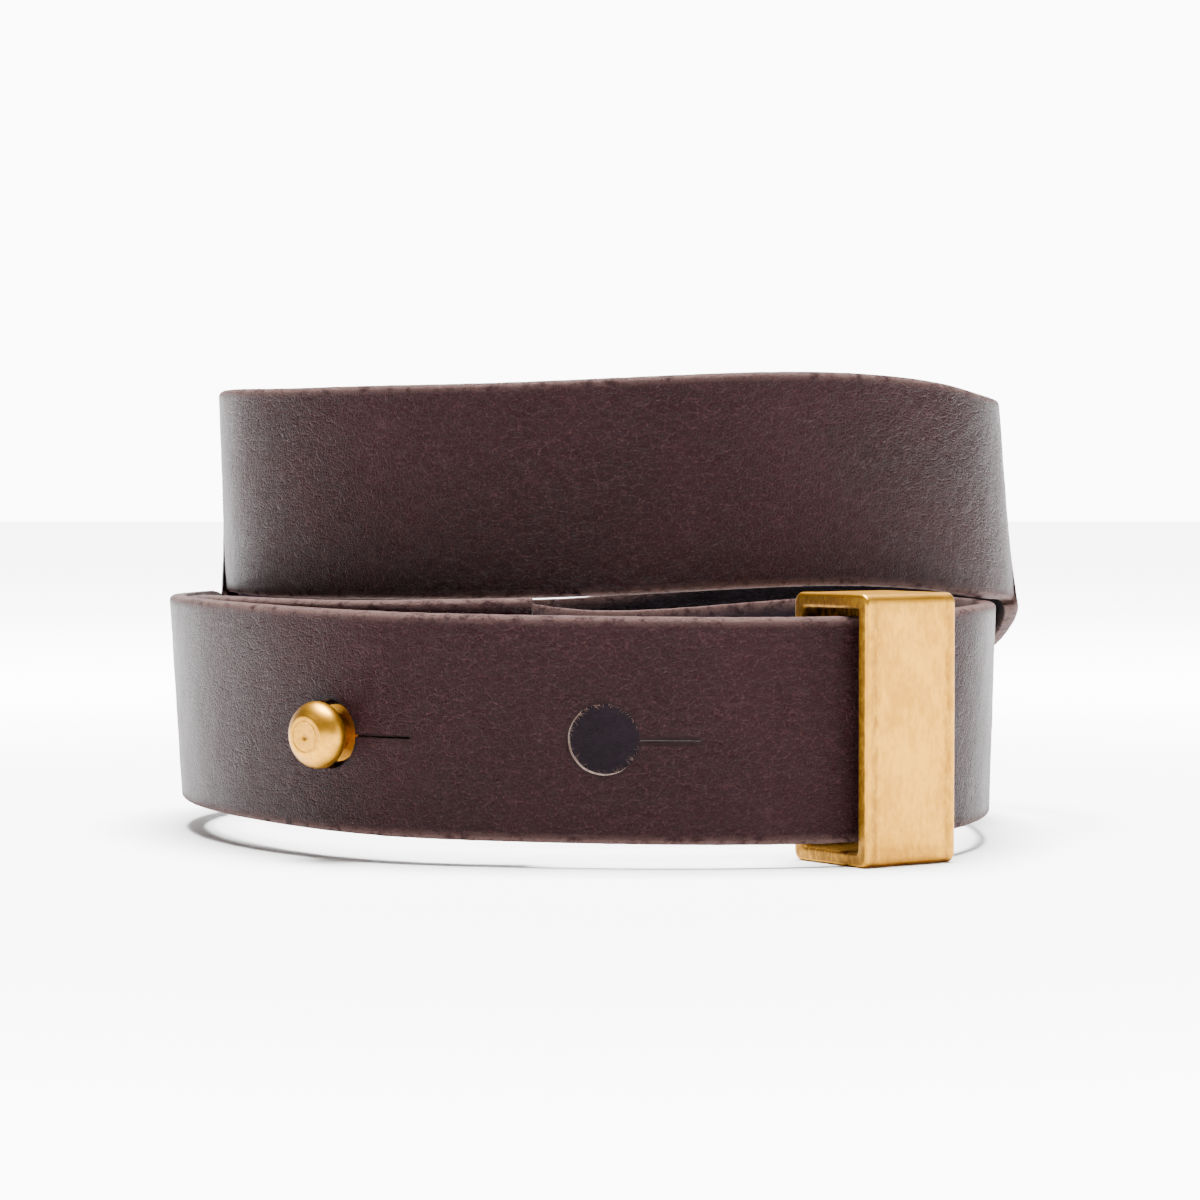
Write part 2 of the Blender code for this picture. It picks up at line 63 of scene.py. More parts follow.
LOWER_PLAN = (
    (-30, 59.5), (0, 66.0), (20, 72.0), (37, 76.6), (52, 78.6), (67, 77.2), (82, 73.6), (100, 70.7),
    (115, 71.9), (130, 71.7), (145, 70.7), (161, 71.3), (180, 74.0), (205, 76.6),
)
UPPER_PLAN = (
    (0, 71.8), (15, 66.2), (30, 59.0), (45, 52.4), (60, 47.8), (75, 45.0), (90, 43.8), (105, 44.6),
    (120, 47.4), (135, 52.0), (150, 57.4), (165, 62.3), (180, 66.4), (195, 68.1),
)
FIRST_BACK_PLAN = ((215, 73.0), (250, 69.6), (285, 70.4), (320, 74.2), (345, 74.6))
LANDING_PLAN = ((-55, 64.5), (-30, 65.6))
EDGE_HEIGHTS = (
    (START_TURN, FRONT_LIFT + 0.0028), (STUD_TURN, FRONT_LIFT + 0.0021), (160, FRONT_LIFT + 0.0018),
    (180, FRONT_LIFT + 0.0009), (205, 0.0026), (222, 0.0006), (235, 0.0), (245, 0.0009),
    (255, 0.0020), (264, 0.0024), (275, 0.0042),
    (290, 0.27 * STRAP_WIDTH), (305, 0.47 * STRAP_WIDTH), (322, 0.72 * STRAP_WIDTH),
    (340, UPPER_FRONT - 0.0081), (350, UPPER_FRONT - 0.0053), (360, UPPER_FRONT - 0.0032),
    (375, UPPER_FRONT - 0.0021), (388, UPPER_FRONT - 0.0014), (398, UPPER_FRONT - 0.0001),
    (408, UPPER_FRONT + 0.0009), (420, UPPER_FRONT + 0.0013), (432, UPPER_FRONT + 0.0010),
    (450, UPPER_FRONT), (465, UPPER_FRONT - 0.0007), (480, UPPER_FRONT - 0.0009),
    (500, UPPER_FRONT - 0.0010), (525, UPPER_FRONT - 0.0007), (540, UPPER_FRONT - 0.0015),
    (550, UPPER_FRONT - 0.10 * STRAP_WIDTH), (565, UPPER_FRONT - 0.26 * STRAP_WIDTH),
    (580, UPPER_FRONT - 0.49 * STRAP_WIDTH), (595, UPPER_FRONT - 0.78 * STRAP_WIDTH),
    (607, 0.17 * STRAP_WIDTH), (617, 0.0023), (627, 0.0004), (638, 0.0006), (650, 0.0018),
    (664, FRONT_LIFT - 0.0006), (690, FRONT_LIFT + 0.0003), (720, FRONT_LIFT + 0.0007),
    (742, FRONT_LIFT + 0.0008), (760, FRONT_LIFT + 0.0004), (780, FRONT_LIFT + 0.0001),
    (808, FRONT_LIFT), (822, FRONT_LIFT + 0.0003), (836, FRONT_LIFT + 0.0006),
    (STUD_TURN + 2 * FULL_TURN, FRONT_LIFT + 0.0008), (866, FRONT_LIFT + 0.0012),
    (885, FRONT_LIFT + 0.0014), (TIP_TURN, FRONT_LIFT + 0.0013),
)
LEANS = (
    (START_TURN, 0), (STUD_TURN, 2), (180, 3.4), (225, 2.5), (270, 0), (315, -3), (360, -5), (405, -2),
    (450, 0), (540, 1.7), (600, 0), (690, 0), (720, 1.7), (760, 0), (812, 0),
    (STUD_TURN + 2 * FULL_TURN, 2), (900, 3.4), (TIP_TURN, 3.4),
)

# Holes, slits and stud
HOLE_DIAMETER = 0.0110
HOLE_PITCH = 0.0451
HOLE_DROPS = (0.0020, 0.0014, 0.0012)    # stud's hole first
HOLE_COUNT = 3
SLIT_LENGTH = 0.0092
LAST_SLIT_LENGTH = 0.0030    # the last slit is closed but for this much of its mouth
SLIT_WIDTH = 0.00035
STUD_HEAD_RISE = 0.0005
STUD_HEAD_HEIGHT = 0.0050
STUD_HEAD_DIAMETER = HOLE_DIAMETER - 0.0004
STUD_FACE_DIAMETER = 0.0070
STUD_NECK_DIAMETER = 0.0060
STUD_COLLAR_DIAMETER = 0.0090
STUD_COLLAR_THICKNESS = 0.0009

# Keeper loop
KEEPER_WIDTH = 0.0179
KEEPER_DEPTH = 0.0181
KEEPER_HEIGHT = 0.0422
KEEPER_PLATE = 0.0023
KEEPER_FRONT = 0.0008
KEEPER_OFFSET = 0.0013
KEEPER_OUTER_RADIUS = 0.0016
KEEPER_INNER_RADIUS = 0.0006
KEEPER_ROUND = 0.00055       # rounding of the plate's edges
KEEPER_ROUND_STEPS = 5
KEEPER_ROWS = 26

# Fineness of the strap's mesh
ALONG_STEP = 0.0007
FACE_ROWS = 44
BACK_ROWS = 14
GRAIN_ROUND = 0.00085        # rounding of the grain side's edges
FLESH_ROUND = 0.00035
ROUND_ROWS = 5
EDGE_BAND = 0.0010           # width of the burnished band at each edge

# Camera and lights
CAMERA_PLACE = (0.0005, -0.6211, 0.0582)
CAMERA_DOWN = 1.75
CAMERA_LENS = 108
WORLD_BACK = 11.0
WORLD_FRONT = 0.10
GLOW_STARTS = 0.70           # cosine of the angle from straight behind the belt
GLOW_FULL = 0.985
FLOOR_WHITE = 0.93
FLOOR_GLOW = 6.5


def smooth_curve(stations):
    """A natural cubic spline through (turn, value) stations, as a function of an array of turns."""
    turns = np.array([turn for turn, _ in stations], dtype=float)
    values = np.array([value for _, value in stations], dtype=float)
    gaps = np.diff(turns)
    slopes = np.diff(values) / gaps
    matrix = np.eye(len(turns))
    right = np.zeros(len(turns))
    for row in range(1, len(turns) - 1):
        matrix[row, row - 1:row + 2] = gaps[row - 1], 2 * (gaps[row - 1] + gaps[row]), gaps[row]
        right[row] = 6 * (slopes[row] - slopes[row - 1])
    bends = np.linalg.solve(matrix, right)

    def value_at(turn):
        turn = np.asarray(turn, dtype=float)
        row = np.clip(np.searchsorted(turns, turn) - 1, 0, len(gaps) - 1)
        gap = gaps[row]
        after = turn - turns[row]
        left = turns[row + 1] - turn
        bend = (bends[row] * left ** 3 + bends[row + 1] * after ** 3) / (6 * gap)
        start = (values[row] / gap - bends[row] * gap / 6) * left
        end = (values[row + 1] / gap - bends[row + 1] * gap / 6) * after
        return bend + start + end

    return value_at


def reach_stations():
    """(turn, reach of the strap's outer face in metres) stations from its square end to its tip."""
    lower, upper, back, landing = (
        [(turn, reach / 1000) for turn, reach in plan]
        for plan in (LOWER_PLAN, UPPER_PLAN, FIRST_BACK_PLAN, LANDING_PLAN)
    )
    tail_face = smooth_curve(lower)
    first_back = smooth_curve(back)
    under_tail = STRAP_THICKNESS + LAYER_GAP
    stations = [(START_TURN, float(tail_face(START_TURN)) - under_tail - END_SPRING)]
    stations += [(turn, float(tail_face(turn)) - under_tail) for turn in (112, 130, 150, 165, 180)]
    stations += back
    stations += [(turn + FULL_TURN, reach) for turn, reach in upper]
    stations += [(turn + FULL_TURN,
                  float(first_back(turn)) - CROSSING_PITCH - 0.1 * STRAP_THICKNESS * offset)
                 for turn, offset in ((215, -4), (240, 0), (270, 4))]
    stations += [(turn + 2 * FULL_TURN, reach) for turn, reach in landing]
    stations += [(turn + 2 * FULL_TURN, reach) for turn, reach in lower if turn >= 0]
    return stations


edge_height = smooth_curve(EDGE_HEIGHTS)
lean = smooth_curve(LEANS)
outer_reach = smooth_curve(reach_stations())


def plan_points(turns):
    """The strap's centre line seen from above, one (x, y) row for each turn."""
    step = 0.05
    reach = outer_reach(turns) - HALF_THICKNESS
    change = (outer_reach(turns + step) - outer_reach(turns - step)) / math.radians(2 * step)
    angle = np.radians(turns)
    return np.stack([np.cos(angle) * reach - np.sin(angle) * change,
                     -np.sin(angle) * reach - np.cos(angle) * change], axis=-1)


def unit(rows):
    return rows / np.linalg.norm(rows, axis=-1, keepdims=True)


def strap_frames(turns):
    """Centres of the strap's section and its axes: onward along it, up across it, and outward."""
    turns = np.atleast_1d(np.asarray(turns, dtype=float))
    step = 0.05
    flat = plan_points(turns + step) - plan_points(turns - step)
    climb = edge_height(turns + step) - edge_height(turns - step)
    onward = unit(np.column_stack([flat, climb]))
    outward = unit(np.column_stack([-flat[:, 1], flat[:, 0], np.zeros(len(turns))]))
    up = unit(np.cross(outward, onward))
    up *= np.where(up[:, 2:] < 0, -1, 1)
    tilt = np.radians(lean(turns))[:, None]
    leaned_up = up * np.cos(tilt) + outward * np.sin(tilt)
    leaned_out = outward * np.cos(tilt) - up * np.sin(tilt)
    centres = np.column_stack([plan_points(turns), edge_height(turns) + HALF_WIDTH * up[:, 2]])
    return centres, onward, leaned_up, leaned_out


# Distance along the strap for each turn
ROUTE_TURNS = np.arange(START_TURN, TIP_TURN + 6, 0.1)
ROUTE_LENGTHS = np.concatenate([[0], np.cumsum(np.linalg.norm(
    np.diff(strap_frames(ROUTE_TURNS)[0], axis=0), axis=1))])


def length_at(turn):
    return float(np.interp(turn, ROUTE_TURNS, ROUTE_LENGTHS))


def turn_at(length):
    return np.interp(length, ROUTE_LENGTHS, ROUTE_TURNS)


def frame_shift():
    """From the route's own origin to the frame's, found where the upper turn's box lies."""
    centres, _, up, out = strap_frames(np.arange(UPPER_START, UPPER_END, 0.5))
    corners = np.concatenate([centres + up * HALF_WIDTH * a + out * HALF_THICKNESS * b
                              for a in (-1, 1) for b in (-1, 1)])
    low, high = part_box("strap_upper_turn")
    middle = (np.array(low) + np.array(high)) / 2
    return middle - (corners.min(axis=0) + corners.max(axis=0)) / 2


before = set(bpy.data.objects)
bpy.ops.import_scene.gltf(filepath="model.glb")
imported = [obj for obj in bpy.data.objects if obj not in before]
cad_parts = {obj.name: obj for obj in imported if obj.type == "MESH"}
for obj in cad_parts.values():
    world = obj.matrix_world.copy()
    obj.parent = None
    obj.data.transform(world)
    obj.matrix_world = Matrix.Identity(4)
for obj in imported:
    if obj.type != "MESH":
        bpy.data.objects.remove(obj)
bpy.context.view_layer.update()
SHIFT = frame_shift()
STUD_LENGTH = length_at(STUD_TURN + 2 * FULL_TURN)
KEEPER_LENGTH = STUD_LENGTH - (HOLE_COUNT - 1) * HOLE_PITCH - KEEPER_OFFSET
SEAM_LENGTH = KEEPER_LENGTH + KEEPER_OFFSET + HOLE_DIAMETER / 2 + 0.0006    # hidden by the loop


def matrix_at(length, drop=0.0, out_by=0.0):
    """Frame on the strap at a distance along it: X back along the strap, Y up across it, Z outward."""
    centre, onward, up, out = (Vector(rows[0]) for rows in strap_frames([turn_at(length)]))
    matrix = Matrix((-onward, up, out)).transposed().to_4x4()
    matrix.translation = centre + Vector(SHIFT) - up * drop + out * out_by
    return matrix


# ---------------------------------------------------------------- materials

class Shader:
    """A material's node tree, with short calls for the nodes used here."""

    def __init__(self, name):
        self.material = bpy.data.materials.new(name)
        self.material.use_nodes = True
        self.tree = self.material.node_tree
        self.surface = self.tree.nodes["Principled BSDF"]

    def link(self, source, target):
        if isinstance(source, bpy.types.NodeSocket):
            self.tree.links.new(source, target)
        else:
            target.default_value = source

    def node(self, kind, **settings):
        item = self.tree.nodes.new(kind)
        for key, value in settings.items():
            setattr(item, key, value)
        return item

    def attribute(self, name):
        return self.node("ShaderNodeAttribute", attribute_name=name)

    def position(self):
        return self.node("ShaderNodeTexCoord").outputs["Object"]

    def stretch(self, vector, scale, turn=0.0):
        item = self.node("ShaderNodeMapping")
        self.link(vector, item.inputs["Vector"])
        item.inputs["Scale"].default_value = scale
        item.inputs["Rotation"].default_value = (0, 0, math.radians(turn))
        return item.outputs["Vector"]

    def noise(self, vector, scale, detail=4, roughness=0.55, distortion=0.0):
        item = self.node("ShaderNodeTexNoise")
        self.link(vector, item.inputs["Vector"])
        for key, value in (("Scale", scale), ("Detail", detail), ("Roughness", roughness),
                           ("Distortion", distortion)):
            item.inputs[key].default_value = value
        return item.outputs["Fac"]

    def cells(self, vector, scale, feature="DISTANCE_TO_EDGE"):
        item = self.node("ShaderNodeTexVoronoi", feature=feature)
        self.link(vector, item.inputs["Vector"])
        item.inputs["Scale"].default_value = scale
        return item.outputs["Distance"]

    def warp(self, vector, scale, reach):
        """The vector pushed about by a noise, by up to the reach on each axis."""
        push = self.node("ShaderNodeTexNoise")
        self.link(vector, push.inputs["Vector"])
        push.inputs["Scale"].default_value = scale
        item = self.node("ShaderNodeVectorMath", operation="MULTIPLY_ADD")
        self.link(push.outputs["Color"], item.inputs[0])
        item.inputs[1].default_value = (reach, reach, reach)
        self.link(vector, item.inputs[2])
        return item.outputs["Vector"]

    def math(self, operation, first, second=0.0):
        item = self.node("ShaderNodeMath", operation=operation)
        self.link(first, item.inputs[0])
        self.link(second, item.inputs[1])
        return item.outputs[0]

    def span(self, value, low, high, to_low=0.0, to_high=1.0):
        item = self.node("ShaderNodeMapRange", interpolation_type="SMOOTHSTEP")
        self.link(value, item.inputs["Value"])
        for key, number in (("From Min", low), ("From Max", high), ("To Min", to_low),
                            ("To Max", to_high)):
            item.inputs[key].default_value = number
        return item.outputs["Result"]

    def mix(self, share, first, second):
        item = self.node("ShaderNodeMix", data_type="RGBA")
        self.link(share, item.inputs["Factor"])
        self.link(first, item.inputs["A"])
        self.link(second, item.inputs["B"])
        return item.outputs["Result"]

    def bump(self, height, strength, distance, normal=None):
        item = self.node("ShaderNodeBump")
        self.link(height, item.inputs["Height"])
        item.inputs["Strength"].default_value = strength
        item.inputs["Distance"].default_value = distance
        if normal:
            self.link(normal, item.inputs["Normal"])
        return item.outputs["Normal"]

    def set(self, **inputs):
        for key, value in inputs.items():
            self.link(value, self.surface.inputs[key.replace("_", " ")])


def colour(red, green, blue):
    return (red, green, blue, 1.0)


GRAIN_DARK = colour(0.0072, 0.0010, 0.0016)
GRAIN_MIDDLE = colour(0.0110, 0.0019, 0.0028)
GRAIN_LIGHT = colour(0.062, 0.025, 0.025)
EDGE_LIGHT = colour(0.060, 0.034, 0.030)
FLESH_DARK = colour(0.0030, 0.0012, 0.0026)
FLESH_LIGHT = colour(0.0065, 0.0030, 0.0055)
RAW_DARK = colour(0.030, 0.012, 0.008)
RAW_TAN = colour(0.110, 0.056, 0.030)
BRASS_LIGHT = colour(0.49, 0.235, 0.018)
BRASS_DEEP = colour(0.37, 0.165, 0.011)
BRASS_PATINA = colour(0.13, 0.060, 0.012)


def leather_material():
    """Grain, flesh and burnished edges, told apart by the strap_place attribute of each point."""
    shader = Shader("strap_leather")
    place = shader.attribute("strap_place").outputs["Vector"]
    parts = shader.node("ShaderNodeSeparateXYZ")
    shader.link(place, parts.inputs[0])
    kind = shader.attribute("strap_kind")
    kinds = shader.node("ShaderNodeSeparateXYZ")
    shader.link(kind.outputs["Vector"], kinds.inputs[0])
    edge, flesh, bend = kinds.outputs

    cloudy = shader.noise(place, 60, 5, 0.6)
    patchy = shader.noise(shader.stretch(place, (1, 1.6, 1), 25), 19, 3, 0.5)
    speckle = shader.noise(place, 2200, 4, 0.75)
    skewed = shader.warp(place, 420, 0.0016)
    pebble = shader.cells(shader.stretch(skewed, (1, 1.3, 1), 12), 1500)
    pebble_large = shader.cells(shader.stretch(skewed, (0.7, 1.2, 1), -25), 620)
    creases = shader.noise(shader.stretch(skewed, (0.30, 1, 1), 38), 620, 5, 0.65, 0.8)
    ridges = shader.noise(shader.stretch(place, (1, 0.14, 1)), 900, 3, 0.6, 0.4)

    tone = shader.math("ADD", shader.math("MULTIPLY", cloudy, 0.55), shader.math("MULTIPLY", patchy, 0.45))
    grain = shader.mix(shader.span(tone, 0.36, 0.64), GRAIN_DARK, GRAIN_MIDDLE)
    crackle = shader.math("MULTIPLY", shader.span(pebble_large, 0.01, 0.07, 1.0, 0.0),
                          shader.span(speckle, 0.42, 0.62, 0.0, 0.35))
    wear_and_sheen = shader.math("MULTIPLY", shader.span(speckle, 0.52, 0.70), 0.30)
    # Painted highlight: the crease lines are painted lighter, standing for the sheen the wrinkles catch.
    crease_sheen = shader.math("MULTIPLY", shader.span(creases, 0.58, 0.68), 0.14)
    # The speckled wear and the crackle are the leather's own lighter marks; together with the painted
    # crease highlight they lighten the grain towards GRAIN_LIGHT.
    wear_and_sheen = shader.math("MAXIMUM", shader.math("MAXIMUM", wear_and_sheen, crackle), crease_sheen)
    grain = shader.mix(wear_and_sheen, grain, GRAIN_LIGHT)
    rough_edge = shader.math("MULTIPLY", edge, shader.span(shader.noise(place, 520, 4, 0.65), 0.28, 0.55))
    outside = shader.mix(rough_edge, grain, EDGE_LIGHT)
    inside = shader.mix(shader.span(shader.noise(place, 160, 5, 0.65), 0.35, 0.7), FLESH_DARK, FLESH_LIGHT)
    shader.set(Base_Color=shader.mix(flesh, outside, inside))

    fine = shader.math("MULTIPLY", shader.span(pebble, 0.0, 0.16), 0.55)
    broad = shader.math("MULTIPLY", shader.span(pebble_large, 0.0, 0.10), 0.35)
    skin = shader.math("ADD", fine, broad)
    bent = shader.math("MULTIPLY", ridges, shader.math("MULTIPLY", bend, 1.6))
    skin = shader.math("ADD", skin, bent)
    skin = shader.math("ADD", skin, shader.math("MULTIPLY", creases, 0.7))
    fuzz = shader.math("MULTIPLY", shader.noise(place, 2600, 3, 0.7), shader.math("ADD", edge, flesh))
    normal = shader.bump(shader.math("ADD", skin, fuzz), 0.9, 0.00016)
    shader.link(normal, shader.surface.inputs["Normal"])
    gloss = shader.math("ADD", 0.36, shader.math("MULTIPLY", cloudy, 0.16))
    gloss = shader.math("ADD", gloss, shader.math("MULTIPLY", shader.math("MAXIMUM", edge, flesh), 0.25))
    shader.set(Roughness=gloss, Specular_IOR_Level=0.07)
    return shader.material


def raw_edge_material():
    """The cut fibres inside the holes and slits."""
    shader = Shader("leather_raw_edge")
    place = shader.position()
    fibres = shader.noise(shader.stretch(place, (1, 1, 0.35)), 2400, 4, 0.7)
    tone = shader.mix(shader.span(fibres, 0.35, 0.65), RAW_DARK, RAW_TAN)
    shader.set(Base_Color=tone, Roughness=0.85)
    shader.link(shader.bump(fibres, 0.8, 0.0002), shader.surface.inputs["Normal"])
    return shader.material


def brass_material(name, patina):
    """Worn brass: cloudy tone, dark pits, and patina where the wear attribute is low."""
    shader = Shader(name)
    place = shader.position()
    wear = shader.attribute("wear").outputs["Fac"]
    cloudy = shader.noise(place, 130, 5, 0.6)
    fine = shader.noise(shader.stretch(place, (1, 1, 0.45)), 1500, 4, 0.65)
    pits = shader.span(shader.cells(place, 700, "F1"), 0.055, 0.15, 1.0, 0.0)
    rare = shader.span(shader.noise(place, 260, 2, 0.5), 0.56, 0.66)
    mottle = shader.math("ADD", shader.math("MULTIPLY", cloudy, 0.55), shader.math("MULTIPLY", fine, 0.45))
    tone = shader.mix(shader.span(mottle, 0.40, 0.62), BRASS_LIGHT, BRASS_DEEP)
    dirt = shader.math("MULTIPLY", wear, shader.span(fine, 0.30, 0.62, 0.35, 1.0))
    dirt = shader.math("MULTIPLY", dirt, patina)
    tone = shader.mix(dirt, tone, BRASS_PATINA)
    spot = shader.math("MULTIPLY", shader.math("MULTIPLY", pits, rare), 0.7)
    tone = shader.mix(spot, tone, BRASS_PATINA)
    shader.set(Base_Color=tone, Metallic=1.0)
    gloss = shader.math("ADD", 0.30, shader.math("MULTIPLY", fine, 0.16))
    shader.set(Roughness=shader.math("ADD", gloss, shader.math("MULTIPLY", dirt, 0.2)))
    relief = shader.math("SUBTRACT", shader.math("MULTIPLY", fine, 0.25), spot)
    shader.link(shader.bump(relief, 0.35, 0.00006), shader.surface.inputs["Normal"])
    return shader.material


# ---------------------------------------------------------------- strap

def section_rows():
    """The strap's section as (across, out, edge, flesh) rows, clockwise from the grain side's top."""
    rows = []
    for row in range(FACE_ROWS + 1):
        share = row / FACE_ROWS
        across = (1 - 2 * share) * (HALF_WIDTH - GRAIN_ROUND)
        near = (HALF_WIDTH - abs(across) - GRAIN_ROUND) / EDGE_BAND
        rows.append((across, HALF_THICKNESS, min(max(1 - near, 0), 1) ** 2 * 0.5, 0))
    for row in range(1, ROUND_ROWS + 1):
        angle = math.radians(90 * row / ROUND_ROWS)
        rows.append((-(HALF_WIDTH - GRAIN_ROUND) - GRAIN_ROUND * math.sin(angle),
                     HALF_THICKNESS - GRAIN_ROUND * (1 - math.cos(angle)), 1, 0))
    for row in range(ROUND_ROWS):
        angle = math.radians(90 * row / (ROUND_ROWS - 1))
        rows.append((-(HALF_WIDTH - FLESH_ROUND) - FLESH_ROUND * math.cos(angle),
                     -(HALF_THICKNESS - FLESH_ROUND) - FLESH_ROUND * math.sin(angle), 1, 0))
    for row in range(1, BACK_ROWS):
        share = row / BACK_ROWS
        rows.append(((2 * share - 1) * (HALF_WIDTH - FLESH_ROUND), -HALF_THICKNESS, 0, 1))
    for row in range(ROUND_ROWS):
        angle = math.radians(90 * row / (ROUND_ROWS - 1))
        rows.append(((HALF_WIDTH - FLESH_ROUND) + FLESH_ROUND * math.sin(angle),
                     -(HALF_THICKNESS - FLESH_ROUND) - FLESH_ROUND * math.cos(angle), 1, 0))
    for row in range(1, ROUND_ROWS):
        angle = math.radians(90 * row / ROUND_ROWS)
        rows.append(((HALF_WIDTH - GRAIN_ROUND) + GRAIN_ROUND * math.cos(angle),
                     HALF_THICKNESS - GRAIN_ROUND * (1 - math.sin(angle)), 1, 0))
    return np.array(rows)


def surface_wave(along, across, side):
    """Height of the worn surface in metres: slow waves, shallow dents and a little raggedness."""
    slow = noise.noise(Vector((along * 45, across * 60, side * 9)))
    medium = noise.noise(Vector((along * 190, across * 230, 20 + side * 9)))
    wrinkle_line = across * 0.8 + along
    wrinkle = noise.noise(Vector((wrinkle_line * 620, (across - along) * 120, 40 + side * 9)))
    return 0.00010 * slow + 0.00005 * medium + 0.000035 * wrinkle


def strap_mesh(name, first, last, tip, materials):
    """A closed stretch of the strap between two distances along it, as an object in the frame."""
    section = section_rows()
    count = len(section)
    steps = max(int(round((last - first) / (ALONG_STEP * 1))), 4)
    lengths = np.linspace(first, last, steps + 1)
    squeeze = np.ones(steps + 1)
    if tip:
        into = np.clip((lengths - (last - TIP_LENGTH)) / TIP_LENGTH, 0, 1)
        into = np.where(into > 0, np.sin(into * math.pi / 2), 0)
        lengths = np.where(into > 0, last - TIP_LENGTH + into * TIP_LENGTH, lengths)
        squeeze = np.sqrt(np.clip(1 - into ** 2, 0.0016, 1))
    turns = turn_at(lengths)
    centres, _, up, out = strap_frames(turns)
    centres = centres + SHIFT
    bends = np.clip(1.0 / np.maximum(bend_radii(turns), 0.01) / 38, 0, 1)

    points = np.zeros((steps + 1, count, 3))
    place = np.zeros((steps + 1, count, 3))
    kind = np.zeros((steps + 1, count, 3))
    for column, (across, side, edge, flesh) in enumerate(section):
        reach = across * squeeze
        waves = np.array([surface_wave(a, r, side > 0) for a, r in zip(lengths, reach)])
        ragged = np.array([noise.noise(Vector((a * 420, 3 + (across > 0), 7))) for a in lengths])
        lift = side + np.sign(side) * waves
        sink = 0.00005 * edge * ragged * np.sign(across)
        points[:, column] = centres + up * (reach + sink)[:, None] + out * lift[:, None]
        place[:, column] = np.column_stack([lengths, reach, np.full(steps + 1, side)])
        kind[:, column] = np.column_stack([np.full(steps + 1, edge), np.full(steps + 1, flesh), bends])

    ring = np.arange(count)
    following = (ring + 1) % count
    base = (np.arange(steps) * count)[:, None]
    faces = np.stack([base + ring, base + count + ring, base + count + following, base + following],
                     axis=-1).reshape(-1, 4).tolist()
    faces.append(list(range(count)))
    faces.append(list(range(steps * count, (steps + 1) * count))[::-1])
    mesh = bpy.data.meshes.new(name)
    mesh.from_pydata(points.reshape(-1, 3).tolist(), [], faces)
    for label, values in (("strap_place", place), ("strap_kind", kind)):
        layer = mesh.attributes.new(label, "FLOAT_VECTOR", "POINT")
        layer.data.foreach_set("vector", values.reshape(-1).astype(np.float32))
    item = bpy.data.objects.new(name, mesh)
    bpy.context.scene.collection.objects.link(item)
    for material in materials:
        mesh.materials.append(material)
    fix_normals(mesh)
    return item


def bend_radii(turns):
    """Radius of the strap's bend, seen from above, in metres."""
    span = 3.0
    stride = np.linalg.norm(plan_points(turns + span) - plan_points(turns - span), axis=1)
    return stride / math.radians(2 * span)


def fix_normals(mesh):
    work = bmesh.new()
    work.from_mesh(mesh)
    bmesh.ops.recalc_face_normals(work, faces=work.faces)
    work.to_mesh(mesh)
    work.free()
    mesh.shade_smooth()
    mesh.set_sharp_from_angle(angle=math.radians(50))


def hole_matrix(number):
    return matrix_at(STUD_LENGTH - number * HOLE_PITCH, HOLE_DROPS[number])


def slit_hole_cutter(number, slit_length, raw):
    """A ragged round hole and its slit, to be cut through the strap."""
    solid = bmesh.new()
    radius = HOLE_DIAMETER / 2
    mouth = math.asin(SLIT_WIDTH / 2 / radius)
    outline = []
    for step in range(73):
        angle = mouth + (2 * math.pi - 2 * mouth) * step / 72
        rough = 1 + 0.012 * noise.noise(Vector((math.cos(angle) * 3, math.sin(angle) * 3, number * 9)))
        outline.append((radius * rough * math.cos(angle), radius * rough * math.sin(angle)))
    end = radius + slit_length
    outline += [(end, -SLIT_WIDTH / 2), (end + SLIT_WIDTH, 0), (end, SLIT_WIDTH / 2)]
    depth = 3 * STRAP_THICKNESS
    lower = [solid.verts.new((x, y, -depth)) for x, y in outline]
    upper = [solid.verts.new((x, y, depth)) for x, y in outline]
    solid.faces.new(lower)
    solid.faces.new(upper)
    for a, b, c, d in zip(lower, lower[1:] + lower[:1], upper[1:] + upper[:1], upper):
        solid.faces.new((a, b, c, d))
    bmesh.ops.recalc_face_normals(solid, faces=solid.faces)
    mesh = bpy.data.meshes.new("cutter")
    solid.to_mesh(mesh)
    solid.free()
    mesh.materials.append(raw)
    cutter = bpy.data.objects.new("cutter", mesh)
    cutter.matrix_world = hole_matrix(number)
    bpy.context.scene.collection.objects.link(cutter)
    return cutter


def cut_and_apply(item, cutters):
    """Cut the holes and keep the result as the object's own mesh."""
    for cutter in cutters:
        modifier = item.modifiers.new("hole", "BOOLEAN")
        modifier.operation = "DIFFERENCE"
        modifier.solver = "EXACT"
        modifier.material_mode = "TRANSFER"
        modifier.object = cutter
    bpy.context.view_layer.update()
    graph = bpy.context.evaluated_depsgraph_get()
    mesh = bpy.data.meshes.new_from_object(item.evaluated_get(graph), depsgraph=graph)
    item.modifiers.clear()
    item.data = mesh
    for cutter in cutters:
        bpy.data.objects.remove(cutter, do_unlink=True)
    mesh.shade_smooth()
    mesh.set_sharp_from_angle(angle=math.radians(50))


